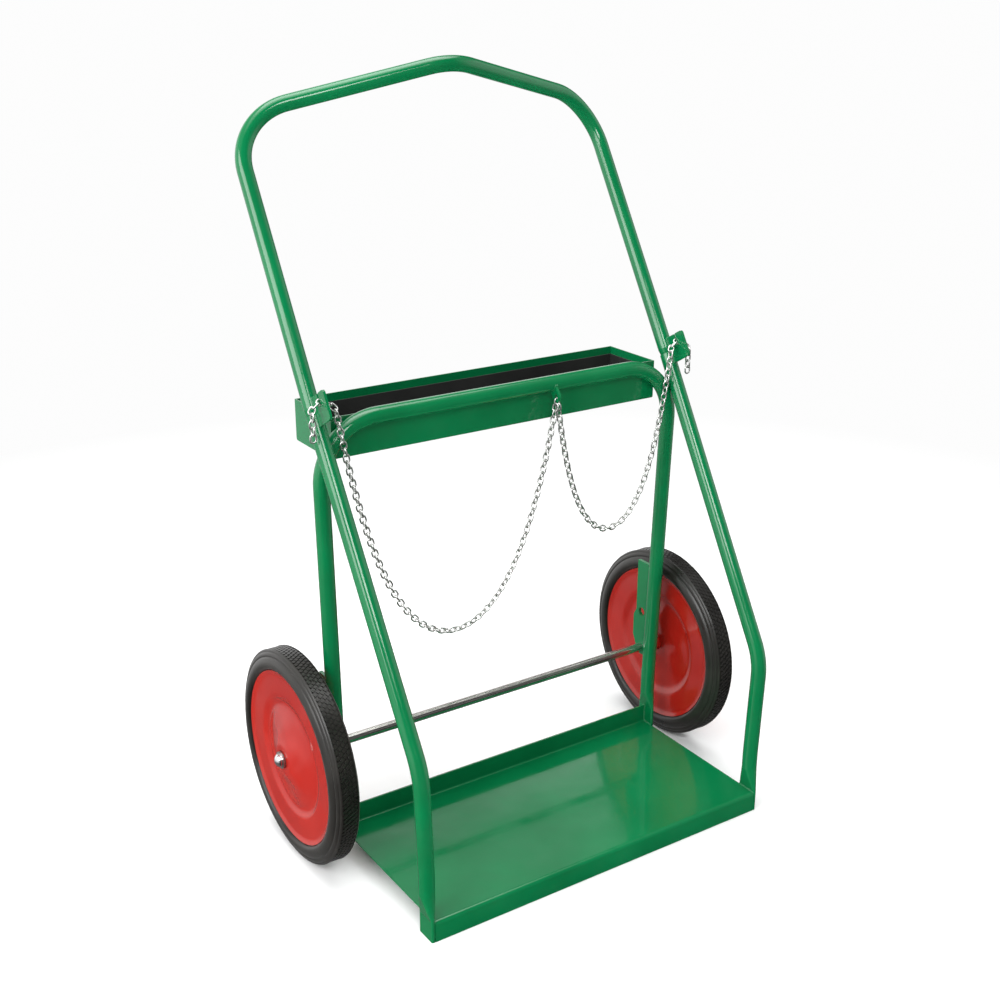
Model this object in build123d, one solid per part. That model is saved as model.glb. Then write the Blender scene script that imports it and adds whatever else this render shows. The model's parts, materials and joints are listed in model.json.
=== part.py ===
from build123d import *
from math import asin, asinh, atanh, cos, cosh, pi, radians, sin, sinh
import os

# Hand cart for one oxygen and one acetylene cylinder, in mm.
# +X is the cart's right, +Y is the rear (the side that is pushed), +Z is up, the floor is z = 0.
# Y is laid out from the rear face of the toe plate, and the finished cart is moved along Y
# at the end so that the middle of its outline stands on the origin.

# Tube frame
TUBE_R = 12.7
TUBE_WALL = 1.8
BORE_R = TUBE_R - TUBE_WALL

# Toe plate, which the cylinders stand on
PLATE_HALF = 319.0
PLATE_DEPTH = 300.8
PLATE_T = 3.0
FLOOR_TOP = 35.0
UPSTAND_TOP = 67.5
PLATE_BEND_R = 4.5

# Crushed tube ends, welded to the ends of the toe plate
FLAT_T = 6.0
FLAT_W = 38.0
FOOT_X = PLATE_HALF + FLAT_T / 2
FRONT_FOOT_Y = FLAT_W / 2 - PLATE_DEPTH
FRONT_FLAT_TOP = 36.0
FRONT_ROUND_Z = 76.0
REAR_FOOT_Y = -5.0
REAR_FOOT_Z = 32.0
REAR_FLAT_TOP = 68.0
REAR_ROUND_Z = 98.0

# Corner points of the tubes' centre lines, right-hand side
LEG_BEND = Vector(328.0, FRONT_FOOT_Y, 279.4)
SPLICE = Vector(335.0, -1.5, 742.0)
HANDLE_CORNER = Vector(333.4, 243.5, 1146.0)
HANDLE_APEX = Vector(0.0, 148.0, 1223.4)
FRAME_CORNER = Vector(335.2, -12.5, 731.0)
LEG_BEND_R = 110.0
FOOT_BEND_R = 300.0
KNEE_RISE = 30.0
HANDLE_CORNER_R = 92.0
HANDLE_APEX_R = 110.0
FRAME_CORNER_R = 95.0
PLUG_LENGTH = 35.0
NECK_LENGTH = 10.0
PLUG_GAP = 0.05

# Tool tray behind the crossbar
TRAY_HALF = 308.0
TRAY_DEPTH = 120.8
TRAY_BOTTOM = 667.8
TRAY_TOP = 734.0
TRAY_T = 2.0
TRAY_BEND_R = 3.0
LINER_T = 2.5
LINER_TOP = 712.0
LINER_GAP = 0.2

# Axle and the plates that carry it
AXLE_R = 7.9375
AXLE_Y = 22.0
AXLE_HALF = 415.5
AXLE_PLATE_T = 6.0
AXLE_PLATE_X = 325.5
AXLE_PLATE_END_R = 13.0
AXLE_PLATE_FLARE_Z = 198.0
AXLE_PLATE_REAR = 44.0
AXLE_PLATE_REAR_TOP = 37.0
AXLE_PLATE_STEP = 12.0
AXLE_PLATE_TOPS = {"left": (306.0, 290.0), "right": (349.0, 238.0)}
AXLE_HOLE_R = 8.0
SPARE_HOLE_Z = 250.0

# Wheels
WHEEL_R = 177.8
TYRE_W = 39.5
TYRE_SHOULDER_R = 12.0
WHEEL_X = 396.3 - TYRE_W / 2
RIM_R = 138.6
LIP_R = 143.0
DISC_T = 1.8
OUTER_DISC_HUB_X = 28.5
INNER_DISC_HUB_X = 15.4
BAND_T = 2.0
BAND_HALF = 14.4
HUB_R = 13.5
HUB_IN = -26.0
HUB_OUT = 30.15
BUSH_R = 11.1
BUSH_BORE_R = 7.99
BUSH_FLANGE_T = 1.5
BUSH_LENGTH = 16.0
SIDE_GAP = 0.3
WASHER_R = 14.0
WASHER_T = 2.0
CAP_R = 10.5
CAP_LENGTH = 9.0
CAP_DOME = 6.0

# Chain fittings and chain
BRACKET_T = 4.0
BRACKET_REACH = 42.0
BRACKET_LENGTH = 45.0
BRACKET_STATION = 2.0
SLOT_W = 5.0
SLOT_DEPTH = 20.0
SLOT_OFFSET = 21.3
EYE_X = 84.0
EYE_T = 4.0
EYE_R = 9.0
EYE_HOLE_R = 4.5
EYE_CENTRE = Vector(EYE_X, -28.0, 712.0)
WIRE_R = 1.4
PITCH = 10.4
LINK_GAP = 0.1
LINK_INNER_R = 3.2
CHAIN_LINKS = {"left": 87, "right": 59}
TAIL_LINKS = 5
SLOT_LINK_TILTS = (radians(30), radians(50))
EYE_SEAT_RISE = 1.8
HANG_TILT = radians(77)
CHAIN_SPREAD = 1.8
CHAIN_TWIST = 24.0
RING_LIFT = 0.5

C = Align.CENTER
LOW = Align.MIN
SIDES = {"left": -1, "right": 1}


def on_side(shape, side):
    """The right-hand shape, or its mirror image for the left."""
    return shape if side == "right" else mirror(shape, Plane.YZ)


def swept(section, path):
    return sweep((path ^ 0) * section, path=path)


def tube(path):
    """Round tube along a path, and the solid that its outside fills."""
    return swept(Circle(TUBE_R) - Circle(BORE_R), path), swept(Circle(TUBE_R), path)


def stadium(width, depth):
    return RectangleRounded(width, depth, min(width, depth) / 2 - 0.01)


def crushed_end(y, bottom, flat_top, round_z):
    """End of a vertical tube pressed flat against the end of the toe plate."""
    foot = Pos(FOOT_X, y)
    flat = foot * Pos(0, 0, bottom) * extrude(stadium(FLAT_T, FLAT_W), flat_top - bottom)
    flare = loft([Pos(0, 0, flat_top) * stadium(FLAT_T, FLAT_W),
                  Pos(0, 0, round_z) * stadium(2 * TUBE_R, 2 * TUBE_R)])
    hollow = loft([Pos(0, 0, flat_top) * stadium(1, FLAT_W - FLAT_T),
                   Pos(0, 0, round_z) * stadium(2 * BORE_R, 2 * BORE_R)])
    return flat + foot * (flare - hollow)


# ---------------------------------------------------------------- frame

def toe_plate():
    """Sheet bent down at the front, as a foot, and up at the rear."""
    t = PLATE_T / 2
    front, rear = t - PLATE_DEPTH, -t
    line = FilletPolyline((front, 0), (front, FLOOR_TOP - t), (rear, FLOOR_TOP - t),
                          (rear, UPSTAND_TOP), radius=PLATE_BEND_R)
    return extrude(Plane.YZ * trace(line, PLATE_T), amount=PLATE_HALF, both=True)


def front_leg():
    """Leg that stands at the front of the toe plate and leans back to the handle."""
    start = Vector(FOOT_X, FRONT_FOOT_Y, FRONT_ROUND_Z)
    knee = start + Vector(0, 0, KNEE_RISE)
    path = FilletPolyline(start, knee, LEG_BEND, SPLICE, radius=[FOOT_BEND_R, LEG_BEND_R])
    wall, _ = tube(path)
    return wall + crushed_end(FRONT_FOOT_Y, 0, FRONT_FLAT_TOP, FRONT_ROUND_Z)


def flip(point):
    return Vector(-point.X, point.Y, point.Z)


def handle():
    """Loop from one leg to the other, with swaged ends that plug into the legs."""
    rise = (HANDLE_CORNER - SPLICE).normalized()
    start = SPLICE + rise * NECK_LENGTH
    path = FilletPolyline(start, HANDLE_CORNER, HANDLE_APEX, flip(HANDLE_CORNER), flip(start),
                          radius=[HANDLE_CORNER_R, HANDLE_APEX_R, HANDLE_CORNER_R])
    wall, _ = tube(path)
    leg_axis = (SPLICE - LEG_BEND).normalized()
    mouth = Plane(SPLICE, z_dir=leg_axis)
    shoulder = Plane(start, z_dir=rise)
    plug_r = BORE_R - PLUG_GAP
    plug = extrude(mouth * (Circle(plug_r) - Circle(plug_r - TUBE_WALL)), -PLUG_LENGTH)
    neck = loft([mouth * Circle(plug_r), shoulder * Circle(TUBE_R)])
    neck -= loft([mouth * Circle(plug_r - TUBE_WALL), shoulder * Circle(BORE_R)])
    end = plug + neck
    return wall + end + mirror(end, Plane.YZ)


def rear_frame():
    """Upright hoop: two legs on the rear corners of the toe plate and a crossbar."""
    start = Vector(FOOT_X, REAR_FOOT_Y, REAR_ROUND_Z)
    knee = start + Vector(0, 0, KNEE_RISE)
    path = FilletPolyline(start, knee, FRAME_CORNER, flip(FRAME_CORNER), flip(knee), flip(start),
                          radius=[FOOT_BEND_R, FRAME_CORNER_R, FRAME_CORNER_R, FOOT_BEND_R])
    wall, solid = tube(path)
    foot = crushed_end(REAR_FOOT_Y, REAR_FOOT_Z, REAR_FLAT_TOP, REAR_ROUND_Z)
    return wall + foot + mirror(foot, Plane.YZ), solid


def tool_tray(hoop_solid):
    """Open tray welded along the back of the crossbar."""
    front = FRAME_CORNER.Y + TUBE_R
    t = TRAY_T / 2
    near, far = front + t, front + TRAY_DEPTH - t
    line = FilletPolyline((near, TRAY_TOP), (near, TRAY_BOTTOM + t), (far, TRAY_BOTTOM + t),
                          (far, TRAY_TOP), radius=TRAY_BEND_R)
    shell = extrude(Plane.YZ * trace(line, TRAY_T), amount=TRAY_HALF - TRAY_T, both=True)
    outline = Pos(front + TRAY_DEPTH / 2, (TRAY_BOTTOM + TRAY_TOP) / 2) * Rectangle(
        TRAY_DEPTH, TRAY_TOP - TRAY_BOTTOM)
    outline = fillet(outline.vertices().group_by(Axis.Y)[0], TRAY_BEND_R + t)
    end = extrude(Plane.YZ.offset(TRAY_HALF - TRAY_T) * outline, TRAY_T)
    return shell + end + mirror(end, Plane.YZ) - hoop_solid


def tool_tray_liner():
    """Rubber mat that lines the tray's floor and part of its walls."""
    side = TRAY_T + LINER_GAP
    front = FRAME_CORNER.Y + TUBE_R + side
    length, depth = 2 * (TRAY_HALF - side), TRAY_DEPTH - 2 * side
    bottom = TRAY_BOTTOM + side
    block = Pos(0, front, bottom) * Box(length, depth, LINER_TOP - bottom, align=(C, LOW, LOW))
    long_edges = block.edges().filter_by(Axis.X).group_by(Axis.Z)[0]
    block = fillet(long_edges, TRAY_BEND_R)
    inside = Pos(0, front + LINER_T, bottom + LINER_T) * Box(
        length - 2 * LINER_T, depth - 2 * LINER_T, LINER_TOP, align=(C, LOW, LOW))
    return block - inside


def axle_plate(leg_solid, top, step):
    """Plate on the back of a rear leg, round under the axle hole, with a spare hole above it."""
    low = WHEEL_R - AXLE_PLATE_END_R
    start, rim = (AXLE_Y, low), (AXLE_Y + AXLE_PLATE_END_R, WHEEL_R)
    reach = AXLE_PLATE_END_R * cos(pi / 4)
    outline = [
        Polyline((0, top), (0, low), start),
        ThreePointArc(start, (AXLE_Y + reach, WHEEL_R - reach), rim),
        Polyline(rim, (AXLE_PLATE_REAR, AXLE_PLATE_FLARE_Z), (AXLE_PLATE_REAR, step),
                 (AXLE_PLATE_REAR_TOP, step + AXLE_PLATE_STEP), (AXLE_PLATE_REAR_TOP, top), (0, top)),
    ]
    face = make_face(outline) - [Pos(AXLE_Y, z) * Circle(AXLE_HOLE_R) for z in (WHEEL_R, SPARE_HOLE_Z)]
    plate = extrude(Plane.YZ.offset(AXLE_PLATE_X - AXLE_PLATE_T / 2) * face, AXLE_PLATE_T)
    return plate - leg_solid


# ---------------------------------------------------------------- axle and wheels

def turned(profile, x=0):
    """Solid of revolution about the axle from an (axial, radial) outline."""
    solid = revolve(profile, Axis.X)
    return Pos(x, AXLE_Y, WHEEL_R) * solid


def ring(inside, outside, start, end, x=0):
    outline = Pos(start, inside) * Rectangle(end - start, outside - inside, align=(LOW, LOW))
    return turned(outline, x)


def axle():
    return ring(0, AXLE_R, -AXLE_HALF, AXLE_HALF)


def axle_trim():
    """What the axle holds outside a plate: spacer, two washers and the end cap."""
    plate_face = AXLE_PLATE_X + AXLE_PLATE_T / 2
    hub_in = WHEEL_X + HUB_IN - BUSH_FLANGE_T
    hub_out = WHEEL_X + HUB_OUT + BUSH_FLANGE_T
    inner_washer = hub_in - SIDE_GAP - WASHER_T
    outer_washer = hub_out + SIDE_GAP
    cap_start = outer_washer + WASHER_T
    bore = AXLE_R + PLUG_GAP
    end = AXLE_HALF - cap_start + PLUG_GAP
    dome_r = (CAP_R ** 2 + CAP_DOME ** 2) / (2 * CAP_DOME)
    half_angle = asin(CAP_R / dome_r) / 2
    crest = CAP_LENGTH - dome_r * (1 - cos(half_angle)), dome_r * sin(half_angle)
    rim = CAP_LENGTH - CAP_DOME, CAP_R
    cap = make_face([
        Polyline((CAP_LENGTH, 0), (end, 0), (end, bore), (0, bore), (0, CAP_R), rim),
        ThreePointArc(rim, crest, (CAP_LENGTH, 0)),
    ])
    return {
        "axle_spacer": ring(AXLE_HOLE_R, BUSH_R, plate_face, inner_washer),
        "inner_washer": ring(AXLE_HOLE_R, WASHER_R, inner_washer, inner_washer + WASHER_T),
        "outer_washer": ring(AXLE_HOLE_R, WASHER_R, outer_washer, cap_start),
        "axle_cap": turned(cap, cap_start),
    }


def tyre():
    half = TYRE_W / 2
    crown = half - TYRE_SHOULDER_R
    corner = TYRE_SHOULDER_R * (1 - cos(pi / 4))
    shoulder = WHEEL_R - TYRE_SHOULDER_R
    outer_side = [
        Line((BAND_HALF + 0.2, RIM_R), (17.7, 144)),
        Line((17.7, 144), (22.5, 146)),
        ThreePointArc((22.5, 146), (24.2, 153), (half, shoulder)),
        ThreePointArc((half, shoulder), (half - corner, WHEEL_R - corner), (crown, WHEEL_R)),
    ]
    inner_side = [mirror(edge, Plane.YZ) for edge in outer_side]
    ends = [Line((-crown, WHEEL_R), (crown, WHEEL_R)),
            Line((-BAND_HALF - 0.2, RIM_R), (BAND_HALF + 0.2, RIM_R))]
    return turned(make_face(outer_side + inner_side + ends), WHEEL_X)


def wheel_disc(sign, at_hub):
    """Pressed disc: welded to the hub, dished, stepped and flared to a lip at the tyre."""
    points = [(at_hub, HUB_R + DISC_T / 2), (at_hub, 27), (11, 90), (15.3, 99), (15.3, 137), (18.4, LIP_R)]
    line = FilletPolyline(*[(sign * a, r) for a, r in points], radius=[8, 8, 4, 3.5])
    return turned(trace(line, DISC_T), WHEEL_X)


def wheel_parts():
    bush_profile = Polyline((0, BUSH_BORE_R), (BUSH_LENGTH, BUSH_BORE_R), (BUSH_LENGTH, BUSH_R - 0.05),
                            (BUSH_FLANGE_T, BUSH_R - 0.05), (BUSH_FLANGE_T, HUB_R), (0, HUB_R), close=True)
    bush = make_face(bush_profile)
    return {
        "tyre": tyre(),
        "outer_disc": wheel_disc(1, OUTER_DISC_HUB_X),
        "inner_disc": wheel_disc(-1, INNER_DISC_HUB_X),
        "rim_band": ring(RIM_R - BAND_T, RIM_R, -BAND_HALF, BAND_HALF, WHEEL_X),
        "hub": ring(BUSH_R, HUB_R, HUB_IN, HUB_OUT, WHEEL_X),
        "inner_bush": turned(bush, WHEEL_X + HUB_IN - BUSH_FLANGE_T),
        "outer_bush": turned(mirror(bush, Plane.YZ), WHEEL_X + HUB_OUT + BUSH_FLANGE_T),
    }


# ---------------------------------------------------------------- chain fittings

def bracket_plane():
    """Plane of the right-hand chain bracket: x away from the handle tube, y up along it."""
    rise = (HANDLE_CORNER - SPLICE).normalized()
    origin = SPLICE + rise * BRACKET_STATION
    away = Vector(0, -rise.Z, rise.Y).normalized()
    return Plane(origin, x_dir=away, z_dir=(-1, 0, 0))


def chain_bracket():
    """Flat plate with a slot that is open at its upper end, which a chain link drops into."""
    plate = Pos(TUBE_R + BRACKET_REACH / 2, 0) * Rectangle(BRACKET_REACH, BRACKET_LENGTH)
    plate = fillet(plate.vertices().group_by(Axis.X)[-1], 5)
    floor = BRACKET_LENGTH / 2 - SLOT_DEPTH
    slot_x = TUBE_R + SLOT_OFFSET
    round_end = Pos(slot_x, floor + SLOT_W / 2) * Circle(SLOT_W / 2)
    slot = Pos(slot_x, floor + SLOT_W / 2) * Rectangle(SLOT_W, SLOT_DEPTH, align=(C, LOW))
    plate -= slot + round_end
    return extrude(bracket_plane() * plate, amount=BRACKET_T / 2, both=True)


def chain_eye(frame_solid):
    """Eye plate on the front of the crossbar, which both chains share."""
    bar = Vector(EYE_X, FRAME_CORNER.Y, FRAME_CORNER.Z)
    out = EYE_CENTRE - bar
    face_plane = Plane(bar, x_dir=out, z_dir=(1, 0, 0))
    tab = Rectangle(out.length, 2 * EYE_R, align=(LOW, C)) + Pos(out.length, 0) * Circle(EYE_R)
    tab -= Pos(out.length, 0) * Circle(EYE_HOLE_R)
    return extrude(face_plane * tab, amount=EYE_T / 2, both=True) - frame_solid


# ---------------------------------------------------------------- chain

def link():
    """One welded oval link, long along X, lying in the XY plane."""
    half = PITCH / 2 + LINK_GAP - LINK_INNER_R
    r = LINK_INNER_R + WIRE_R
    path = Wire([
        Line((-half, r), (half, r)),
        ThreePointArc((half, r), (half + r, 0), (half, -r)),
        Line((half, -r), (-half, -r)),
        ThreePointArc((-half, -r), (-half - r, 0), (-half, r)),
    ])
    return sweep(Plane((-half, r, 0), z_dir=(1, 0, 0)) * Circle(WIRE_R), path=path)


def place_link(shape, start, end, normal):
    """The link from one joint of the chain to the next, turned about its length."""
    along = (end - start).normalized()
    square = normal - along * normal.dot(along)
    return Plane((start + end) / 2, x_dir=along, z_dir=square).location * shape


def catenary(start, end, count):
    """Joints of a chain of that many links that hangs between two points."""
    length = count * PITCH
    rise = end.Z - start.Z
    run = Vector(end.X - start.X, end.Y - start.Y, 0)
    span = run.length
    slack = (length ** 2 - rise ** 2) ** 0.5 / span
    low, high = 1e-3, 20.0
    for _ in range(60):
        middle = (low + high) / 2
        low, high = (middle, high) if sinh(middle) / middle < slack else (low, middle)
    scale = span / (low + high)
    lowest = span / 2 - scale * atanh(rise / length)
    joints = []
    for i in range(count + 1):
        arc = PITCH * i / scale - sinh(lowest / scale)
        fall = start.Z + scale * (cosh(asinh(arc)) - cosh(lowest / scale))
        place = start + run * ((lowest + scale * asinh(arc)) / span)
        joints.append(Vector(place.X, place.Y, fall))
    return joints


def eye_link_centre():
    """Middle of the link that hangs in the eye and holds both chains."""
    drop = EYE_HOLE_R + PITCH / 2 - RING_LIFT
    return EYE_CENTRE - Vector(0, 0, drop)


def chain(side):
    """Links from the loose tail outside the bracket, over its slot, to the eye."""
    oval = link()
    sign = SIDES[side]
    plane = bracket_plane()
    across, up = plane.x_dir, plane.y_dir
    seat_height = BRACKET_LENGTH / 2 - SLOT_DEPTH + LINK_INNER_R + 2 * WIRE_R + LINK_GAP
    seat = plane.from_local_coords(Vector(TUBE_R + SLOT_OFFSET, seat_height, 0))
    seat = Vector(sign * seat.X, seat.Y, seat.Z)
    half = Vector(PITCH / 2, 0, 0)
    links = [place_link(oval, seat - half, seat + half, across)]

    bend = LINK_INNER_R - LINK_GAP

    def drape(outward):
        """Two links that tip over the end of the link in the slot; returns their last end's centre."""
        tip = SLOT_LINK_TILTS[0]
        reach = PITCH / 2 - bend + bend * cos(tip)
        joint = seat + Vector(outward * reach, 0, 0) - up * (bend * sin(tip))
        for tilt, flat in zip(SLOT_LINK_TILTS, (False, True)):
            along = Vector(outward * cos(tilt), 0, 0) - up * sin(tilt)
            following = joint + along * PITCH
            links.append(place_link(oval, joint, following, across if flat else along.cross(across)))
            joint = following
        return joint - along * bend

    def hook(centre, along):
        """First joint of a chain that hangs that way from a link's end."""
        level = (along - across * along.dot(across)).normalized()
        return centre + level * (LINK_INNER_R + WIRE_R) - along * (WIRE_R + LINK_GAP)

    hanging = hook(drape(-sign), Vector(-sign * cos(HANG_TILT), 0, -sin(HANG_TILT)))
    loose = hook(drape(sign), Vector(0, 0, -1))
    eye_joint = eye_link_centre() - Vector(-sign * CHAIN_SPREAD, 0, PITCH / 2 - EYE_SEAT_RISE)
    route = catenary(hanging, eye_joint, CHAIN_LINKS[side])
    tail = [loose - Vector(0, 0, PITCH * i) for i in range(TAIL_LINKS)]
    for joints, level in ((route, (eye_joint - hanging).cross(Vector(0, 0, 1))), (tail, Vector(0, 1, 0))):
        for i, (start, end) in enumerate(zip(joints, joints[1:])):
            along = end - start
            normal = level if i % 2 else along.cross(level)
            twist = CHAIN_TWIST * i / CHAIN_LINKS[side]
            links.append(place_link(oval, start, end, normal.rotate(Axis((0, 0, 0), along), twist)))
    return Compound(links)


def chain_ring():
    """The link that hangs in the eye."""
    half = Vector(0, 0, PITCH / 2)
    centre = eye_link_centre()
    return place_link(link(), centre + half, centre - half, Vector(0, 1, 0))


# ---------------------------------------------------------------- the cart

def build_cart():
    leg = front_leg()
    hoop, hoop_solid = rear_frame()
    cart = {
        "toe_plate": toe_plate(),
        "handle": handle(),
        "rear_frame": hoop,
        "tool_tray": tool_tray(hoop_solid),
        "tool_tray_liner": tool_tray_liner(),
        "chain_eye": chain_eye(hoop_solid),
        "chain_ring": chain_ring(),
        "axle": axle(),
    }
    right_hand = {
        "front_leg": leg,
        "chain_bracket": chain_bracket(),
        **axle_trim(),
        **{f"wheel_{name}": shape for name, shape in wheel_parts().items()},
    }
    for side in SIDES:
        for name, shape in right_hand.items():
            cart[f"{side}_{name}"] = on_side(shape, side)
        cart[f"{side}_axle_plate"] = on_side(axle_plate(hoop_solid, *AXLE_PLATE_TOPS[side]), side)
        cart[f"{side}_chain"] = chain(side)
    return cart


cart = build_cart()
outline = Compound([cart["toe_plate"], cart["handle"], cart["left_front_leg"]]).bounding_box()
middle = Pos(0, -(outline.min.Y + outline.max.Y) / 2)
os.makedirs("parts", exist_ok=True)
for name, shape in cart.items():
    export_step(middle * shape, f"parts/{name}.step")
print("moved along Y by", round(-(outline.min.Y + outline.max.Y) / 2, 3))
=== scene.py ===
"""The finish of a two-cylinder welding cart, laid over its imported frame.

Lengths are in metres, or in mm where a name or a comment says so.
"""

import json
import math

import bmesh
import bpy
import numpy as np
from mathutils import Matrix, Vector
from mathutils.bvhtree import BVHTree


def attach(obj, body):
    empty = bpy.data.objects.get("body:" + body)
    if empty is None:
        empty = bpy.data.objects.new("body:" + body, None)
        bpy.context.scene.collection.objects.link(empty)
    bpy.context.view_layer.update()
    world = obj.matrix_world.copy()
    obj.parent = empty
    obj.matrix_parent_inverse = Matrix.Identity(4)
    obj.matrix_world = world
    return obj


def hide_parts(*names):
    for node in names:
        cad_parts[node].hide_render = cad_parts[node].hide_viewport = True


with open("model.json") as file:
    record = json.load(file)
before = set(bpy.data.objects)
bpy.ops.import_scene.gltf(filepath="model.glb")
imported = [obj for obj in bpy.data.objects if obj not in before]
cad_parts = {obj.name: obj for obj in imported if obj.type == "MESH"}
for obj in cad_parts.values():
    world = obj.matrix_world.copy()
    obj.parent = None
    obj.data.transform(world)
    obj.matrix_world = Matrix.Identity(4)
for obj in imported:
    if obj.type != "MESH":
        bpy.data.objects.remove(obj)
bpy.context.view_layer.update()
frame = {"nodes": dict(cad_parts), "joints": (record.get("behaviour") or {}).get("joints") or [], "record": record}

MM = 0.001
SIDES = {"left": -1, "right": 1}
SAME_POINT = 0.001 * MM
SAME_SEAM_POINT = 0.01 * MM


# ---------------------------------------------------------------- camera

AZIMUTH = math.radians(33.67)
LOOK_DOWN = math.radians(20.48)
ROLL = math.radians(0.23)
DISTANCE = 2.249
AIM = Vector((-0.0072, 0.0311, 0.544))
LENS_MM = 49.5
SENSOR_MM = 36.0


def set_camera():
    """The camera stands at the cart's front left and looks a little down on it."""
    look = Vector((math.sin(AZIMUTH) * math.cos(LOOK_DOWN),
                   math.cos(AZIMUTH) * math.cos(LOOK_DOWN),
                   -math.sin(LOOK_DOWN)))
    data = bpy.data.cameras.new("camera")
    data.lens = LENS_MM
    data.sensor_width = SENSOR_MM
    camera = bpy.data.objects.new("camera", data)
    camera.location = AIM - look * DISTANCE
    camera.rotation_mode = "QUATERNION"
    camera.rotation_quaternion = look.to_track_quat("-Z", "Y") @ Matrix.Rotation(ROLL, 3, "Z").to_quaternion()
    bpy.context.scene.collection.objects.link(camera)
    bpy.context.scene.camera = camera


# ---------------------------------------------------------------- node trees

class Nodes:
    """A node tree with short calls to fill it."""

    def __init__(self, tree):
        self.tree = tree

    def add(self, kind, sockets=None, **settings):
        """A new node. Sockets are given by name or number, as values or as other nodes' outputs."""
        node = self.tree.nodes.new(kind)
        for name, value in settings.items():
            setattr(node, name, value)
        for key, value in (sockets or {}).items():
            self.feed(node.inputs[key], value)
        return node

    def feed(self, socket, value):
        if isinstance(value, bpy.types.NodeSocket):
            self.tree.links.new(value, socket)
        else:
            socket.default_value = value


# ---------------------------------------------------------------- room, lamps and floor

# What shiny parts mirror: (degrees from the rear towards the right, brightness) round the horizon
SURROUND = ((-180, 0.09), (-128, 0.09), (-104, 1.0), (39, 1.25), (43, 0.06), (68, 0.10), (84, 0.80),
            (122, 0.80), (144, 0.09), (180, 0.09))
CEILING = 3.0
CEILING_EDGE = (0.84, 0.96)
BAND_EDGE = (0.505, 0.55)
UNDER_EDGE = (-0.5, -0.05)
ABOVE_HORIZON = 0.45
UNDERFOOT = 0.12
BACKDROP = 0.98


def surround(world):
    """White to the camera. To light and reflections, a room that is bright behind and dark in front."""
    room = Nodes(world.node_tree)
    way = room.add("ShaderNodeTexCoord").outputs["Generated"]
    x, y, z = room.add("ShaderNodeSeparateXYZ", {0: way}).outputs
    azimuth = room.add("ShaderNodeMath", {0: x, 1: y}, operation="ARCTAN2").outputs[0]
    turn = room.add("ShaderNodeMapRange", {"Value": azimuth, "From Min": -math.pi, "From Max": math.pi})
    around = room.add("ShaderNodeValToRGB", {0: turn.outputs[0]})
    stops = around.color_ramp.elements
    while len(stops) < len(SURROUND):
        stops.new(0.5)
    for stop, (degrees, light) in zip(stops, SURROUND):
        stop.position = (degrees + 180) / 360
        stop.color = (light, light, light, 1)

    def ramp(edge, start, end):
        sockets = {"Value": z, "From Min": edge[0], "From Max": edge[1], "To Min": start, "To Max": end}
        return room.add("ShaderNodeMapRange", sockets)

    above = ramp(CEILING_EDGE, 0.0, 1.0)
    fall = ramp(BAND_EDGE, 1.0, ABOVE_HORIZON)
    banded = room.add("ShaderNodeMath", {0: around.outputs[0], 1: fall.outputs[0]}, operation="MULTIPLY")
    under = ramp(UNDER_EDGE, UNDERFOOT, 1.0)
    roofed = room.add("ShaderNodeMix", {0: above.outputs[0], 2: banded.outputs[0], 3: CEILING})
    whole = room.add("ShaderNodeMath", {0: roofed.outputs[0], 1: under.outputs[0]}, operation="MULTIPLY")
    seen = room.add("ShaderNodeLightPath").outputs["Is Camera Ray"]
    level = room.add("ShaderNodeMix", {0: seen, 2: whole.outputs[0], 3: BACKDROP})
    room.feed(world.node_tree.nodes["Background"].inputs["Color"], level.outputs[0])


def soft_box(name, place, aim, width, height, watts):
    """A rectangular lamp that shows in reflections but not to the camera."""
    data = bpy.data.lights.new(name, "AREA")
    data.shape = "RECTANGLE"
    data.size = width
    data.size_y = height
    data.energy = watts
    lamp = bpy.data.objects.new(name, data)
    lamp.location = place
    lamp.rotation_mode = "QUATERNION"
    lamp.rotation_quaternion = (Vector(aim) - Vector(place)).to_track_quat("-Z", "Y")
    lamp.visible_camera = False
    bpy.context.scene.collection.objects.link(lamp)


# (name, place, what it points at, width, height, watts)
LAMPS = (
    ("left_box", (-3.2, -0.6, 2.3), (0, 0, 0.5), 3.0, 2.2, 105),
    ("front_fill", (-1.5, -3.4, 3.2), (0, 0, 0.4), 1.6, 1.2, 60),
    ("top_box", (0.3, 0.6, 3.8), (0, 0, 0.4), 3.0, 2.0, 50),
)


def light_studio():
    for lamp in LAMPS:
        soft_box(*lamp)
    world = bpy.data.worlds.new("studio")
    world.use_nodes = True
    bpy.context.scene.world = world
    surround(world)
    bpy.context.scene.view_settings.view_transform = "Standard"


FLOOR_HALF = 30.0
PAPER = (0.95, 0.95, 0.95)
FADE_START = 0.9
FADE_END = 2.4


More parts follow.
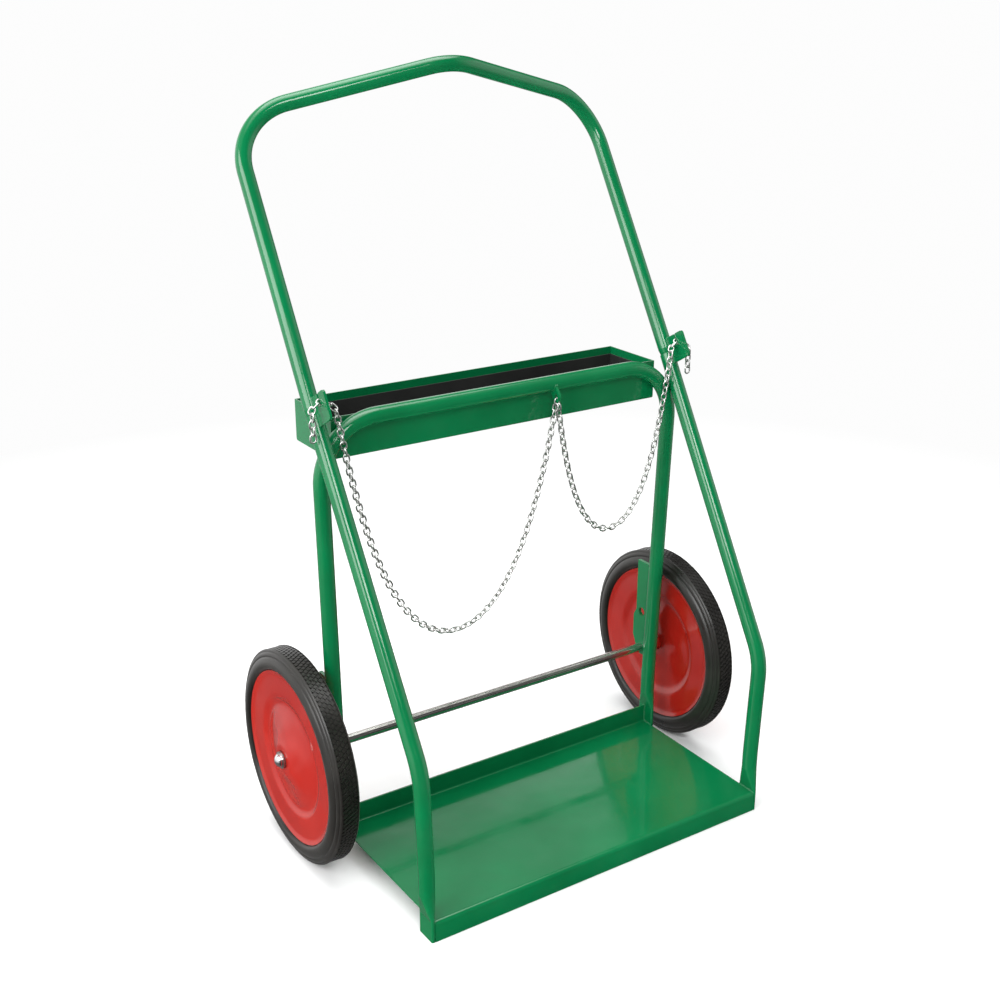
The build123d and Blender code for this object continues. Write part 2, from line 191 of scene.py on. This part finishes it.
def lay_floor():
    """A plain white floor that fades into the white sweep. Shiny parts mirror the room through it."""
    mesh = bpy.data.meshes.new("floor")
    corners = [(x * FLOOR_HALF, y * FLOOR_HALF, 0) for x, y in ((-1, -1), (1, -1), (1, 1), (-1, 1))]
    mesh.from_pydata(corners, [], [(0, 1, 2, 3)])
    floor = bpy.data.objects.new("floor", mesh)
    floor.visible_glossy = False
    bpy.context.scene.collection.objects.link(floor)
    pale = bpy.data.materials.new("pale_floor")
    pale.use_nodes = True
    paper = Nodes(pale.node_tree)
    place = paper.add("ShaderNodeTexCoord").outputs["Object"]
    reach = paper.add("ShaderNodeVectorMath", {0: place}, operation="LENGTH").outputs["Value"]
    fade = paper.add("ShaderNodeMapRange", {"Value": reach, "From Min": FADE_START, "From Max": FADE_END})
    matt = paper.add("ShaderNodeBsdfDiffuse", {"Color": (*PAPER, 1)}).outputs[0]
    glow = paper.add("ShaderNodeEmission", {"Color": (BACKDROP, BACKDROP, BACKDROP, 1)}).outputs[0]
    whole = paper.add("ShaderNodeMixShader", {0: fade.outputs[0], 1: matt, 2: glow}).outputs[0]
    paper.feed(pale.node_tree.nodes["Material Output"].inputs["Surface"], whole)
    mesh.materials.append(pale)


# ---------------------------------------------------------------- finish helper

class Finish(Nodes):
    """A material that is filled in step by step, with patterns in the object's own coordinates."""

    def __init__(self, name, **constants):
        self.material = bpy.data.materials.new(name)
        self.material.use_nodes = True
        super().__init__(self.material.node_tree)
        self.shader = self.tree.nodes["Principled BSDF"]
        self.place = self.add("ShaderNodeTexCoord").outputs["Object"]
        self.relief = None
        for socket, value in constants.items():
            self.shader.inputs[socket.replace("_", " ").title().replace("Ior", "IOR")].default_value = value

    def stretched(self, scale):
        return self.add("ShaderNodeMapping", {"Vector": self.place, "Scale": scale}).outputs[0]

    def noise(self, scale, detail, vector=None):
        sockets = {"Vector": vector or self.place, "Scale": scale, "Detail": detail}
        return self.add("ShaderNodeTexNoise", sockets).outputs[0]

    def span(self, value, low, high, start=0.3, end=0.7):
        """The value's range from start to end, spread from low to high."""
        sockets = {"Value": value, "From Min": start, "From Max": end, "To Min": low, "To Max": high}
        return self.add("ShaderNodeMapRange", sockets).outputs[0]

    def blend(self, factor, first, second):
        """A colour between two colours or colour outputs."""
        colours = [c if isinstance(c, bpy.types.NodeSocket) else (*c, 1) for c in (first, second)]
        sockets = {0: factor, 6: colours[0], 7: colours[1]}
        return self.add("ShaderNodeMix", sockets, data_type="RGBA").outputs[2]

    def colour(self, value):
        self.feed(self.shader.inputs["Base Color"], value)

    def rough(self, value):
        self.feed(self.shader.inputs["Roughness"], value)

    def bump(self, height, depth, strength):
        """Adds a relief of that depth to those already there."""
        sockets = {"Height": height, "Distance": depth, "Strength": strength}
        if self.relief:
            sockets["Normal"] = self.relief
        self.relief = self.add("ShaderNodeBump", sockets).outputs[0]
        self.feed(self.shader.inputs["Normal"], self.relief)


# ---------------------------------------------------------------- finishes

def enamel(name, dark, light, dents):
    """Thick glossy paint: two close shades, faint orange peel, and slow waves that bend what it mirrors."""
    paint = Finish(name, ior=1.5, coat_weight=0.25, coat_roughness=0.02, coat_ior=1.5)
    paint.colour(paint.blend(paint.span(paint.noise(scale=7, detail=3), 0, 1), dark, light))
    paint.rough(paint.span(paint.noise(scale=26, detail=4), low=0.10, high=0.22, start=0.35, end=0.75))
    paint.bump(paint.noise(scale=9, detail=1.5), depth=0.02, strength=dents)
    paint.bump(paint.noise(scale=380, detail=1), depth=0.0002, strength=0.12)
    return paint.material


def rubber(name, dark, light, low_rough, high_rough, grain):
    """Moulded rubber with a fine grain and a thin bloom of dust."""
    skin = Finish(name, ior=1.52, sheen_weight=0.10, sheen_roughness=0.4)
    bloom = skin.noise(scale=18, detail=5)
    skin.colour(skin.blend(skin.span(bloom, 0, 1), dark, light))
    skin.rough(skin.span(bloom, low_rough, high_rough))
    skin.bump(skin.noise(scale=grain, detail=3), depth=0.0004, strength=0.35)
    return skin.material


def plated(name, dark, light, low_rough, high_rough):
    """Bright zinc: cloudy grains of slightly different grey."""
    metal = Finish(name, metallic=1.0)
    cloud = metal.noise(scale=160, detail=4)
    metal.colour(metal.blend(metal.span(cloud, 0, 1), dark, light))
    metal.rough(metal.span(cloud, low_rough, high_rough))
    metal.bump(metal.noise(scale=900, detail=2), depth=0.0001, strength=0.3)
    return metal.material


def drawn_steel(name):
    """Cold drawn bar: fine die lines along its length and faint smoky patches."""
    metal = Finish(name, metallic=1.0)
    lines = metal.noise(scale=1, detail=4, vector=metal.stretched((9, 1400, 1400)))
    smoke = metal.noise(scale=14, detail=4)
    metal.colour(metal.blend(metal.span(smoke, 0, 1), (0.50, 0.48, 0.46), (0.74, 0.72, 0.69)))
    metal.rough(metal.span(lines, low=0.14, high=0.32))
    metal.bump(lines, depth=0.0001, strength=0.35)
    return metal.material


def chrome(name):
    metal = Finish(name, metallic=1.0)
    smudge = metal.noise(scale=220, detail=3)
    metal.colour(metal.blend(metal.span(smudge, 0, 1), (0.80, 0.80, 0.81), (0.90, 0.90, 0.91)))
    metal.rough(metal.span(smudge, low=0.03, high=0.12, start=0.45, end=0.8))
    return metal.material


def nylon(name):
    plastic = Finish(name, ior=1.53)
    mottle = plastic.noise(scale=120, detail=3)
    plastic.colour(plastic.blend(mottle, (0.035, 0.035, 0.036), (0.06, 0.06, 0.062)))
    plastic.rough(plastic.span(mottle, low=0.35, high=0.5))
    plastic.bump(plastic.noise(scale=1200, detail=1), depth=0.0001, strength=0.3)
    return plastic.material


GREENS = (0.001, 0.142, 0.044), (0.002, 0.180, 0.058)
REDS = (0.34, 0.010, 0.006), (0.41, 0.017, 0.010)
TYRE_BLACKS = (0.007, 0.0062, 0.0050), (0.015, 0.0133, 0.0102)
# The tray liner's black: partly the rubber's own colour, partly painted shade inside the tray.
LINER_AND_PAINTED_SHADE_BLACKS = (0.006, 0.006, 0.006), (0.013, 0.013, 0.012)
CHAIN_GREYS = (0.74, 0.74, 0.72), (0.93, 0.93, 0.91)
WASHER_GREYS = (0.50, 0.50, 0.49), (0.70, 0.70, 0.68)


def make_finishes():
    return {
        "green_enamel": enamel("green_enamel", *GREENS, dents=0.08),
        "red_enamel": enamel("red_enamel", *REDS, dents=0.30),
        "tyre_rubber": rubber("tyre_rubber", *TYRE_BLACKS, low_rough=0.26, high_rough=0.42, grain=700),
        # The tray liner's finish, whose black is partly painted shade inside the tray.
        "liner_rubber": rubber("liner_rubber", *LINER_AND_PAINTED_SHADE_BLACKS, low_rough=0.6, high_rough=0.8, grain=380),
        "zinc_chain": plated("zinc_chain", *CHAIN_GREYS, low_rough=0.30, high_rough=0.48),
        "zinc_hardware": plated("zinc_hardware", *WASHER_GREYS, low_rough=0.25, high_rough=0.42),
        "bright_steel": drawn_steel("bright_steel"),
        "chrome_cap": chrome("chrome_cap"),
        "bush_nylon": nylon("bush_nylon"),
    }


def dress_cad_nodes(finishes):
    """Each CAD node gets the finish of its material slot."""
    for part in frame["record"]["subparts"]:
        for slot in frame["nodes"][part["node"]].material_slots:
            slot.material = finishes[part["material_slot"]]


# ---------------------------------------------------------------- making pieces

class Grower(Nodes):
    """A geometry node tree that turns a source mesh into repeated detail."""

    def __init__(self, name, **sizes):
        tree = bpy.data.node_groups.new(name, "GeometryNodeTree")
        super().__init__(tree)
        tree.interface.new_socket("Geometry", in_out="INPUT", socket_type="NodeSocketGeometry")
        for label, value in sizes.items():
            kind = "NodeSocketInt" if isinstance(value, int) else "NodeSocketFloat"
            socket = tree.interface.new_socket(label, in_out="INPUT", socket_type=kind)
            socket.default_value = value
        tree.interface.new_socket("Geometry", in_out="OUTPUT", socket_type="NodeSocketGeometry")
        self.given = self.add("NodeGroupInput").outputs
        self.result = self.add("NodeGroupOutput").inputs[0]

    def attribute(self, name):
        read = self.add("GeometryNodeInputNamedAttribute", {"Name": name}, data_type="FLOAT_VECTOR")
        return read.outputs[0]

    def vector(self, x=0.0, y=0.0, z=0.0):
        return self.add("ShaderNodeCombineXYZ", {0: x, 1: y, 2: z}).outputs[0]

    def sum(self, *values, operation="ADD"):
        return self.add("ShaderNodeMath", dict(enumerate(values)), operation=operation).outputs[0]

    def finish(self, instances, material):
        """Instances made real, smoothed and given their finish, as the tree's result."""
        real = self.add("GeometryNodeRealizeInstances", {0: instances}).outputs[0]
        smooth = self.add("GeometryNodeSetShadeSmooth", {0: real}).outputs[0]
        done = self.add("GeometryNodeSetMaterial", {"Geometry": smooth, "Material": material}).outputs[0]
        self.tree.links.new(done, self.result)
        return self.tree


def grow(tree, source, **sizes):
    """The plain mesh that a tree makes of a source mesh."""
    holder = bpy.data.objects.new("holder", source)
    bpy.context.scene.collection.objects.link(holder)
    modifier = holder.modifiers.new("grow", "NODES")
    modifier.node_group = tree
    for item in tree.interface.items_tree:
        if item.in_out == "INPUT" and item.name in sizes:
            modifier[item.identifier] = sizes[item.name]
    depsgraph = bpy.context.evaluated_depsgraph_get()
    mesh = bpy.data.meshes.new_from_object(holder.evaluated_get(depsgraph), depsgraph=depsgraph)
    holder.modifiers.remove(modifier)
    bpy.data.objects.remove(holder)
    return mesh


def joined(meshes, name, material):
    """Several meshes of one finish as one mesh."""
    shape = bmesh.new()
    for mesh in meshes:
        shape.from_mesh(mesh)
    whole = bpy.data.meshes.new(name)
    shape.to_mesh(whole)
    shape.free()
    whole.materials.clear()
    whole.materials.append(material)
    return whole


def add_piece(name, mesh, body, slot, *stands_for):
    made = bpy.data.objects.new(name, mesh)
    bpy.context.scene.collection.objects.link(made)
    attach(made, body)
    if stands_for:
        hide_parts(*stands_for)
    return made


# ---------------------------------------------------------------- chain

WIRE_R = 1.4 * MM
LINK_INNER_R = 3.2 * MM
LINK_PITCH = 10.4 * MM
LINK_STEPS = 5
WIRE_SIDES = 6
END_ROUND = 0.49


def shells(mesh):
    """The corner points of each separate closed shell in a mesh."""
    points = np.array([v.co for v in mesh.vertices])
    _, same = np.unique(points.round(6), axis=0, return_inverse=True)
    faces = np.array([[same[i] for i in t.vertices] for t in mesh.loop_triangles])
    label = np.arange(same.max() + 1)
    settled = False
    while not settled:
        lower = label.copy()
        np.minimum.at(lower, faces.ravel(), label[faces].min(axis=1).repeat(3))
        lower = lower[lower]
        settled = (lower == label).all()
        label = lower
    owner = label[same]
    return [points[owner == number] for number in np.unique(owner)]


def link_frames(node):
    """Centre, length direction and flat direction of each link of a CAD chain, from left to right."""
    mesh = frame["nodes"][node].data
    mesh.calc_loop_triangles()
    found = []
    for corners in shells(mesh):
        middle = corners.mean(axis=0)
        _, axes = np.linalg.eigh(np.cov((corners - middle).T))
        spread = (corners - middle) @ axes
        middle = middle + axes @ (spread.min(axis=0) + spread.max(axis=0)) / 2
        found.append((Vector(middle), Vector(axes[:, 2]), Vector(axes[:, 0])))
    return found


def chain_tree(material):
    """Oval links of round wire, one at each point."""
    tree = Grower("chain_links", wire=WIRE_R, inside=LINK_INNER_R, pitch=LINK_PITCH,
                  sides=WIRE_SIDES, steps=LINK_STEPS)
    given = tree.given
    width = tree.sum(tree.sum(given["inside"], given["wire"]), 2.0, operation="MULTIPLY")
    length = tree.sum(given["pitch"], tree.sum(given["wire"], 2.0, operation="MULTIPLY"))
    box = tree.add("GeometryNodeCurvePrimitiveQuadrilateral", {"Width": length, "Height": width})
    corner = tree.sum(width, END_ROUND, operation="MULTIPLY")
    oval = tree.add("GeometryNodeFilletCurve",
                    {"Curve": box.outputs[0], "Radius": corner, "Count": given["steps"],
                     "Limit Radius": True}, mode="POLY")
    wire = tree.add("GeometryNodeCurvePrimitiveCircle",
                    {"Resolution": given["sides"], "Radius": given["wire"]})
    link = tree.add("GeometryNodeCurveToMesh", {"Curve": oval.outputs[0], "Profile Curve": wire.outputs[0]})
    turn = tree.add("FunctionNodeAxesToRotation", {0: tree.attribute("along"), 1: tree.attribute("flat")},
                    primary_axis="X", secondary_axis="Z")
    placed = tree.add("GeometryNodeInstanceOnPoints",
                      {"Points": given["Geometry"], "Instance": link.outputs[0], "Rotation": turn.outputs[0]})
    return tree.finish(placed.outputs[0], material)


def make_chain(node, tree):
    links = link_frames(node)
    source = bpy.data.meshes.new(node + "_centres")
    source.from_pydata([middle for middle, _, _ in links], [], [])
    for name, column in (("along", 1), ("flat", 2)):
        values = source.attributes.new(name, "FLOAT_VECTOR", "POINT")
        values.data.foreach_set("vector", [x for link in links for x in link[column]])
    return add_piece(node + "_links", grow(tree, source), "root", "zinc_chain", node)


# ---------------------------------------------------------------- tyres

TREAD_R = 177.8 * MM
TREAD_FLOOR = 174.3 * MM
TURN_STEPS = 144
CREASE = math.radians(38)
BAR_TOP_SHARE = 0.78
# the rows' middles across the tread, in mm
BAR_ROWS = (-9.4, -3.15, 3.15, 9.4)
BARS = 128
BAR_ACROSS = 6.0 * MM
BAR_ALONG = 5.2 * MM
BAR_SLANT = math.radians(34)
ROW_STEP = math.radians(1.4)

# (across the wheel from its middle, radius) in mm, from the rim seat to the tread's middle
TYRE_OUTLINE = (
    (14.6, 138.8), (16.6, 141.4), (17.8, 144.2), (20.4, 145.0), (22.6, 146.4), (23.8, 149.2), (24.1, 152.4),
    (23.8, 155.6), (22.9, 158.6), (21.6, 161.4), (20.6, 163.2), (19.6, 164.0), (19.1, 164.8), (19.4, 165.8),
    (19.2, 167.6), (18.4, 169.6), (17.4, 171.2), (16.5, 171.7), (16.0, 172.6), (16.1, 173.6), (15.4, 174.9),
    (14.2, 176.2), (13.3, 176.6), (12.8, 175.4), (12.6, 174.3), (0, 174.3),
)


def turned(outline, centre, steps):
    """A closed outline in (axial, radius) spun about the wheel's axis."""
    vertices, faces, count = [], [], len(outline)
    for i in range(steps):
        angle = 2 * math.pi * i / steps
        for axial, radius in outline:
            vertices.append(centre + Vector((axial, radius * math.cos(angle), radius * math.sin(angle))))
    for i in range(steps):
        for k in range(count):
            ring, following = i * count, (i + 1) % steps * count
            k2 = (k + 1) % count
            faces.append((ring + k, ring + k2, following + k2, following + k))
    mesh = bpy.data.meshes.new("turned")
    mesh.from_pydata(vertices, [], faces)
    shape = bmesh.new()
    shape.from_mesh(mesh)
    bmesh.ops.recalc_face_normals(shape, faces=shape.faces)
    shape.to_mesh(mesh)
    shape.free()
    mesh.shade_smooth()
    mesh.set_sharp_from_angle(angle=CREASE)
    return mesh


# (across the wheel from its middle, radius) in mm, along the face of each pressed disc from hub to lip
OUTER_DISC_FACE = (
    (29.4, 14.4), (29.4, 22.0), (29.1, 24.6), (28.3, 27.4), (27.2, 30.5), (12.9, 82.0), (12.0, 86.5),
    (12.0, 89.6), (12.7, 92.4), (14.6, 96.6), (15.6, 98.8), (16.2, 101.4), (16.2, 133.8), (16.5, 136.0),
    (17.4, 138.6), (19.2, 143.0),
)
INNER_DISC_FACE = (
    (16.3, 14.4), (16.3, 22.0), (16.1, 26.0), (15.7, 30.0), (12.0, 80.0), (11.8, 86.0), (12.0, 89.6),
    (12.7, 92.4), (14.6, 96.6), (15.6, 98.8), (16.2, 101.4), (16.2, 133.8), (16.5, 136.0), (17.4, 138.6),
    (19.2, 143.0),
)
DISC_SHEET = 1.8 * MM
DISC_RING_STEP_MM = 5.0
BUCKLE_FROM = 18 * MM
BUCKLE_TO = 96 * MM
# (waves round the disc, how fast they swirl with the radius, depth)
BUCKLES = ((3, 70, 0.00050), (5, -110, 0.00034), (8, 160, 0.00016))


def wheel_centre(side):
    return Vector(next(j for j in frame["joints"] if j["child"] == f"{side}_wheel")["pos_m"])


def close_spaced(outline, step):
    """The outline with more points on its long runs."""
    dense = []
    for start, end in zip(outline, outline[1:]):
        count = max(1, round(math.dist(start, end) / step))
        dense += [tuple(s + (e - s) * i / count for s, e in zip(start, end)) for i in range(count)]
    return [*dense, outline[-1]]


def make_disc(side, face, outline, material):
    """One pressed steel disc, slightly buckled between its hub and its ring as thin sheet is."""
    centre = wheel_centre(side)
    facing = SIDES[side] * (1 if face == "outer" else -1)
    front = [(facing * a * MM, r * MM) for a, r in close_spaced(outline, DISC_RING_STEP_MM)]
    back = [(a - facing * DISC_SHEET, r) for a, r in reversed(front)]
    mesh = turned(front + back, centre, TURN_STEPS)
    for vertex in mesh.vertices:
        arm = vertex.co - centre
        radius, angle = math.hypot(arm.y, arm.z), math.atan2(arm.z, arm.y)
        share = min(max((radius - BUCKLE_FROM) / (BUCKLE_TO - BUCKLE_FROM), 0), 1)
        waves = sum(depth * math.sin(lobes * angle + swirl * radius) for lobes, swirl, depth in BUCKLES)
        vertex.co.x += facing * waves * math.sin(math.pi * share)
    mesh.materials.append(material)
    return add_piece(f"{side}_{face}_disc", mesh, f"{side}_wheel", "red_enamel", f"{side}_wheel_{face}_disc")


def tread_tree(material):
    """A ring of slanted rubber bars about the X axis."""
    tree = Grower("tread_bars", bars=BARS, radius=TREAD_FLOOR, across=BAR_ACROSS, along=BAR_ALONG,
                  height=TREAD_R - TREAD_FLOOR, slant=BAR_SLANT, row=0.0, phase=0.0)
    given = tree.given
    circle = tree.add("GeometryNodeCurvePrimitiveCircle",
                      {"Resolution": given["bars"], "Radius": given["radius"]})
    ring = tree.add("GeometryNodeTransform",
                    {"Geometry": circle.outputs[0], "Rotation": (0, math.radians(90), 0)})
    started = tree.add("GeometryNodeTransform",
                       {"Geometry": ring.outputs[0], "Rotation": tree.vector(given["phase"])})
    set_off = tree.add("GeometryNodeTransform",
                       {"Geometry": started.outputs[0], "Translation": tree.vector(given["row"])})
    half = tree.sum(given["across"], 0.5, operation="MULTIPLY")
    minus = tree.sum(half, -1.0, operation="MULTIPLY")
    line = tree.add("GeometryNodeCurvePrimitiveLine",
                    {"Start": tree.vector(x=minus), "End": tree.vector(x=half)})
    top = tree.sum(given["along"], BAR_TOP_SHARE, operation="MULTIPLY")
    section = tree.add("GeometryNodeCurvePrimitiveQuadrilateral",
                       {"Bottom Width": given["along"], "Top Width": top, "Height": given["height"],
                        "Offset": 0.0}, mode="TRAPEZOID")
    bar = tree.add("GeometryNodeCurveToMesh",
                   {"Curve": line.outputs[0], "Profile Curve": section.outputs[0], "Fill Caps": True})
    position = tree.add("GeometryNodeInputPosition").outputs[0]
    outward = tree.add("ShaderNodeVectorMath", {0: position, 1: (0, 1, 1)}, operation="MULTIPLY").outputs[0]
    upright = tree.add("FunctionNodeAxesToRotation", {0: outward, 1: (1, 0, 0)},
                       primary_axis="Z", secondary_axis="X")
    slanted = tree.add("FunctionNodeAxisAngleToRotation", {"Axis": (0, 0, 1), "Angle": given["slant"]})
    turn = tree.add("FunctionNodeRotateRotation", {0: upright.outputs[0], 1: slanted.outputs[0]},
                    rotation_space="LOCAL")
    placed = tree.add("GeometryNodeInstanceOnPoints",
                      {"Points": set_off.outputs[0], "Instance": bar.outputs[0], "Rotation": turn.outputs[0]})
    return tree.finish(placed.outputs[0], material)


def make_tyre(side, tree, material):
    """Solid tyre with ribbed shoulders and four rows of slanted bars in the middle of its tread."""
    centre = wheel_centre(side)
    outer = [(a * MM, r * MM) for a, r in TYRE_OUTLINE]
    inner = [(-a, r) for a, r in reversed(outer) if a]
    body = turned(outer + inner, centre, TURN_STEPS)
    rows = []
    blank = bpy.data.meshes.new("blank")
    for number, offset in enumerate(BAR_ROWS):
        row = grow(tree, blank, row=offset * MM, phase=number * ROW_STEP)
        row.transform(Matrix.Translation(centre))
        row.shade_flat()
        rows.append(row)
    mesh = joined([body, *rows], f"{side}_tyre", material)
    return add_piece(f"{side}_tyre", mesh, f"{side}_wheel", "tyre_rubber", f"{side}_wheel_tyre")


# ---------------------------------------------------------------- tray liner, partly painted shade

# How far the liner's top edges are raised: painted shade, carrying the liner's black up the tray's walls.
LINER_PAINTED_SHADE_RISE = 9.0 * MM
RIM_DEPTH = 0.3 * MM


def make_liner_and_painted_shade(material):
    """The rubber tray liner with its sides drawn up the walls of the tray, partly a real liner and partly painted
    shade: its black up the walls stands in for the shade inside the tray.
    """
    shape = bmesh.new()
    shape.from_mesh(frame["nodes"]["tool_tray_liner"].data)
    bmesh.ops.remove_doubles(shape, verts=shape.verts, dist=SAME_POINT)
    rim = max(corner.co.z for corner in shape.verts) - RIM_DEPTH
    # Raise the liner's top edges, so that its black covers more of the walls as painted shade.
    for corner in shape.verts:
        if corner.co.z > rim:
            corner.co.z += LINER_PAINTED_SHADE_RISE
    mesh = bpy.data.meshes.new("tray_liner_and_painted_shade")
    shape.to_mesh(mesh)
    shape.free()
    mesh.materials.append(material)
    add_piece("tray_liner_and_painted_shade", mesh, "root", "liner_rubber", "tool_tray_liner")


# ---------------------------------------------------------------- weld beads

WELD_STEP = 1.5 * MM
WELD_REACH = 0.35 * MM
FLOOR_CLEAR = 5.0 * MM
RIPPLE_PITCH = 1.7 * MM
BEAD_R = 2.0 * MM
SHARP = math.radians(30)
CORE_SHARE = 0.86
RIPPLE_FLAT = 0.62
RIPPLE_SIZES = (0.86, 1.14)
BEAD_SIDES = 8
BEAD_RINGS = 5


def surface(node):
    mesh = frame["nodes"][node].data
    return BVHTree.FromPolygons([v.co for v in mesh.vertices], [tuple(p.vertices) for p in mesh.polygons])


def seam_lines(node, other, keep=None):
    """The stretches of a node's sharp edges that lie on another node's surface, as a mesh of short edges."""
    shape = bmesh.new()
    shape.from_mesh(frame["nodes"][node].data)
    bmesh.ops.remove_doubles(shape, verts=shape.verts, dist=SAME_POINT)
    neighbour = surface(other)
    lines = bmesh.new()
    for edge in shape.edges:
        if len(edge.link_faces) != 2 or edge.calc_face_angle() < SHARP:
            continue
        start, end = (v.co.copy() for v in edge.verts)
        pieces = max(1, round((end - start).length / WELD_STEP))
        for i in range(pieces):
            a, b = start.lerp(end, i / pieces), start.lerp(end, (i + 1) / pieces)
            middle = (a + b) / 2
            near = neighbour.find_nearest(middle, WELD_REACH)[0]
            if near and middle.z > FLOOR_CLEAR and (keep is None or keep(middle)):
                lines.edges.new((lines.verts.new(a), lines.verts.new(b)))
    bmesh.ops.remove_doubles(lines, verts=lines.verts, dist=SAME_SEAM_POINT)
    mesh = bpy.data.meshes.new("seam")
    lines.to_mesh(mesh)
    lines.free()
    shape.free()
    return mesh


def weld_tree(material):
    """A painted weld bead along each seam: a round core with a pile of ripples on it."""
    tree = Grower("weld_bead", radius=BEAD_R, ripple=RIPPLE_PITCH, seed=1)
    given = tree.given
    curve = tree.add("GeometryNodeMeshToCurve", {0: given["Geometry"]}).outputs[0]
    resampled = tree.add("GeometryNodeResampleCurve", {"Curve": curve, "Length": given["ripple"]},
                         mode="LENGTH").outputs[0]
    core_r = tree.sum(given["radius"], CORE_SHARE, operation="MULTIPLY")
    core_section = tree.add("GeometryNodeCurvePrimitiveCircle", {"Resolution": BEAD_SIDES, "Radius": core_r})
    core = tree.add("GeometryNodeCurveToMesh",
                    {"Curve": resampled, "Profile Curve": core_section.outputs[0], "Fill Caps": True})
    ball = tree.add("GeometryNodeMeshUVSphere",
                    {"Segments": BEAD_SIDES, "Rings": BEAD_RINGS, "Radius": given["radius"]})
    flat = tree.add("GeometryNodeTransform", {"Geometry": ball.outputs[0], "Scale": (1, 1, RIPPLE_FLAT)})
    tangent = tree.add("GeometryNodeInputTangent").outputs[0]
    turn = tree.add("FunctionNodeAlignRotationToVector", {"Vector": tangent}, axis="Z")
    size = tree.add("FunctionNodeRandomValue",
                    {2: RIPPLE_SIZES[0], 3: RIPPLE_SIZES[1], "Seed": given["seed"]}, data_type="FLOAT")
    placed = tree.add("GeometryNodeInstanceOnPoints",
                      {"Points": resampled, "Instance": flat.outputs[0], "Rotation": turn.outputs[0],
                       "Scale": size.outputs[1]})
    both = tree.add("GeometryNodeJoinGeometry")
    for part in (core.outputs[0], placed.outputs[0]):
        tree.tree.links.new(part, both.inputs[0])
    return tree.finish(both.outputs[0], material)


STITCH_EVERY = 150 * MM
STITCH_LENGTH = 40 * MM


def in_stitch(point):
    along = abs(point.x) % STITCH_EVERY
    return along < STITCH_LENGTH / 2 or along > STITCH_EVERY - STITCH_LENGTH / 2


def make_welds(tree):
    """The beads that hold the frame together: name, welded node, what it is welded to, radius in mm."""
    seams = [("eye", "chain_eye", "rear_frame", 1.7), ("tray", "tool_tray", "rear_frame", 1.9),
             ("rear_feet", "toe_plate", "rear_frame", 2.0)]
    for side in SIDES:
        seams += [(f"{side}_plate", f"{side}_axle_plate", "rear_frame", 1.8),
                  (f"{side}_bracket", f"{side}_chain_bracket", "handle", 1.6),
                  (f"{side}_foot", "toe_plate", f"{side}_front_leg", 2.0)]
    for number, (name, node, other, radius) in enumerate(seams):
        lines = seam_lines(node, other, in_stitch if name == "tray" else None)
        add_piece(f"{name}_weld", grow(tree, lines, radius=radius * MM, seed=number), "root", "green_enamel")


# ---------------------------------------------------------------- the whole cart

set_camera()
light_studio()
lay_floor()
finishes = make_finishes()
dress_cad_nodes(finishes)

chain = chain_tree(finishes["zinc_chain"])
for chain_node in ("left_chain", "right_chain", "chain_ring"):
    make_chain(chain_node, chain)

tread = tread_tree(finishes["tyre_rubber"])
for side in SIDES:
    make_tyre(side, tread, finishes["tyre_rubber"])
    make_disc(side, "outer", OUTER_DISC_FACE, finishes["red_enamel"])
    make_disc(side, "inner", INNER_DISC_FACE, finishes["red_enamel"])

# The tray liner, whose black is partly painted shade inside the tray.
make_liner_and_painted_shade(finishes["liner_rubber"])
make_welds(weld_tree(finishes["green_enamel"]))
